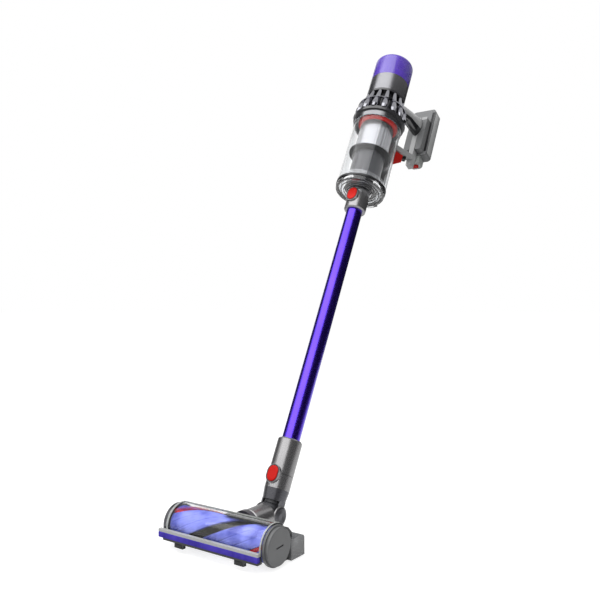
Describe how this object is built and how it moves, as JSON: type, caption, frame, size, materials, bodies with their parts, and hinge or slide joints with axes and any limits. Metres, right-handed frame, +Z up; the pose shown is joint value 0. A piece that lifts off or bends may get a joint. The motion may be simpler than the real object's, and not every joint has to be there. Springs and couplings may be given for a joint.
{
  "type": "cordless stick vacuum cleaner",
  "caption": "Cordless stick vacuum: motor unit with clear dust bin, grip and slide-on battery on a long tube wand, with a hinged cleaner head and spinning brush bar.",
  "frame": {"origin": "centre of the glide strip's bottom face, on the floor under the cleaner head", "axes": "+X along the brush bar to the end cap, +Y from the brush to the back, +Z up"},
  "size_m": [0.25, 0.9511, 1.1138],
  "materials": {
    "violet_anodised": "satin anodised",
    "silver_plastic": "satin silver-grey",
    "iron_plastic": "satin iron grey",
    "red_plastic": "satin red",
    "black_plastic": "satin black",
    "black_rubber": "matt rubber",
    "pin_steel": "ground",
    "clear_plastic": "clear polished",
    "smoke_plastic": "translucent grey",
    "pale_plastic": "light grey satin",
    "cap_plastic": "mid grey satin",
    "purple_felt": "short felt",
    "lilac_nap": "soft nap",
    "carbon_filament": "filament",
    "red_filament": "filament",
    "motor_metal": "machined",
    "shroud_metal": "fine mesh",
    "dark_chrome": "dark chrome plating",
    "filter_plastic": "translucent purple",
    "filter_paper": "pleated",
    "board": "solder mask",
    "cell_metal": "sleeved cells"
  },
  "bodies": {
    "wand": {"wand_tube": "violet_anodised", "wand_collar": "silver_plastic", "neck_sleeve": "silver_plastic", "neck_collar": "silver_plastic", "neck_cone": "iron_plastic"},
    "upper_release": {"wand_button": "red_plastic"},
    "lower_release": {"neck_button": "red_plastic"},
    "lower_neck": {"neck_tube": "iron_plastic", "neck_pins": "pin_steel", "neck_bellows": "black_rubber"},
    "head": {"head_housing": "black_plastic", "head_visor": "clear_plastic", "left_cap": "iron_plastic", "front_trim": "pale_plastic", "front_felt": "purple_felt", "front_lip": "black_plastic", "sole_plate": "black_plastic", "glide_strip": "purple_felt", "wheel_covers": "smoke_plastic", "swivel_ring": "iron_plastic", "seal_strip": "pale_plastic", "brush_motor": "motor_metal"},
    "end_cap": {"end_cap": "cap_plastic"},
    "brush": {"brush_core": "black_plastic", "brush_nap": "lilac_nap", "carbon_bristles": "carbon_filament", "nylon_bristles": "red_filament"},
    "roller_left": {"roller_left": "black_rubber"},
    "roller_right": {"roller_right": "black_rubber"},
    "wheel_left": {"wheel_left": "black_rubber"},
    "wheel_right": {"wheel_right": "black_rubber"},
    "main_body": {"inlet_duct": "black_plastic", "shroud_skirt": "black_plastic", "shroud_mesh": "shroud_metal", "bin_seal": "red_plastic", "cyclone_body": "dark_chrome", "cyclone_cones": "dark_chrome", "motor_housing": "iron_plastic", "motor_stator": "motor_metal", "grip": "iron_plastic", "control_board": "board", "bin_rail": "black_plastic", "front_strut": "pale_plastic", "battery_shoe": "pale_plastic", "charging_socket": "black_plastic"},
    "impeller": {"impeller": "motor_metal"},
    "trigger": {"trigger": "black_plastic"},
    "bin_lever": {"bin_lever": "red_plastic"},
    "filter": {"filter_shell": "filter_plastic", "filter_media": "filter_paper"},
    "bin": {"bin_wall": "clear_plastic", "bin_ring": "black_plastic", "bin_rim": "pale_plastic"},
    "flap": {"bin_flap": "clear_plastic", "flap_seal": "black_rubber"},
    "battery": {"battery_case": "iron_plastic", "battery_cells": "cell_metal", "latch_guard": "clear_plastic"},
    "battery_release": {"battery_release": "red_plastic"}
  },
  "joints": [
    {"name": "wand_pull", "type": "slide", "parent": "wand", "child": "main_body", "axis": [0, 0.4602, 0.8878], "range_m": [0, 0.25]},
    {"name": "bin_slide", "type": "slide", "parent": "main_body", "child": "bin", "axis": [0, -0.4602, -0.8878], "range_m": [0, 0.06]},
    {"name": "flap_swing", "type": "hinge", "parent": "bin", "child": "flap", "pos_m": [0, 0.50987, 0.70668], "axis": [1, 0, 0], "range_deg": [0, 95]},
    {"name": "upper_release_press", "type": "slide", "parent": "wand", "child": "upper_release", "axis": [0, 0.8878, -0.4602], "range_m": [0, 0.002], "stiffness_N_per_m": 800},
    {"name": "lower_release_press", "type": "slide", "parent": "wand", "child": "lower_release", "axis": [0, 0.8878, -0.4602], "range_m": [0, 0.002], "stiffness_N_per_m": 800},
    {"name": "neck_pitch", "type": "hinge", "parent": "wand", "child": "lower_neck", "pos_m": [0, 0.09, 0.039], "axis": [1, 0, 0], "range_deg": [-27, 55], "deforming": ["neck_bellows"]},
    {"name": "neck_roll", "type": "hinge", "parent": "lower_neck", "child": "head", "pos_m": [0, 0.008, 0.039], "axis": [0, 1, 0], "range_deg": [-60, 60]},
    {"name": "end_cap_turn", "type": "hinge", "parent": "head", "child": "end_cap", "pos_m": [0.113, -0.044, 0.039], "axis": [1, 0, 0], "range_deg": [0, 90]},
    {"name": "brush_spin", "type": "hinge", "parent": "head", "child": "brush", "pos_m": [0, -0.044, 0.039], "axis": [1, 0, 0], "continuous": true},
    {"name": "roller_left_spin", "type": "hinge", "parent": "head", "child": "roller_left", "pos_m": [-0.072, -0.0875, 0.0131], "axis": [1, 0, 0], "continuous": true},
    {"name": "wheel_left_spin", "type": "hinge", "parent": "head", "child": "wheel_left", "pos_m": [-0.104, 0.0215, 0.011], "axis": [1, 0, 0], "continuous": true},
    {"name": "roller_right_spin", "type": "hinge", "parent": "head", "child": "roller_right", "pos_m": [0.072, -0.0875, 0.0131], "axis": [1, 0, 0], "continuous": true},
    {"name": "wheel_right_spin", "type": "hinge", "parent": "head", "child": "wheel_right", "pos_m": [0.104, 0.0215, 0.011], "axis": [1, 0, 0], "continuous": true},
    {"name": "impeller_spin", "type": "hinge", "parent": "main_body", "child": "impeller", "pos_m": [0, 0.58241, 0.98896], "axis": [0, 0.4602, 0.8878], "continuous": true},
    {"name": "trigger_pull", "type": "slide", "parent": "main_body", "child": "trigger", "axis": [0, 0.0941, 0.9956], "range_m": [0, 0.006], "stiffness_N_per_m": 400},
    {"name": "bin_lever_slide", "type": "slide", "parent": "main_body", "child": "bin_lever", "axis": [0, -0.4602, -0.8878], "range_m": [0, 0.01], "stiffness_N_per_m": 300, "springref_m": -0.002},
    {"name": "filter_twist", "type": "hinge", "parent": "main_body", "child": "filter", "pos_m": [0, 0.60588, 1.03424], "axis": [0, 0.4602, 0.8878], "range_deg": [0, 30]},
    {"name": "battery_pull", "type": "slide", "parent": "main_body", "child": "battery", "axis": [0, 0.8878, -0.4602], "range_m": [0, 0.05]},
    {"name": "battery_release_press", "type": "slide", "parent": "battery", "child": "battery_release", "axis": [0, 0.4602, 0.8878], "range_m": [0, 0.003], "stiffness_N_per_m": 500}
  ],
  "couplings": [
    {"joint": "bin_slide", "follows": "wand_pull", "ratio": 0.24},
    {"joint": "flap_swing", "follows": "wand_pull", "rad_per_m": 6.6289}
  ]
}
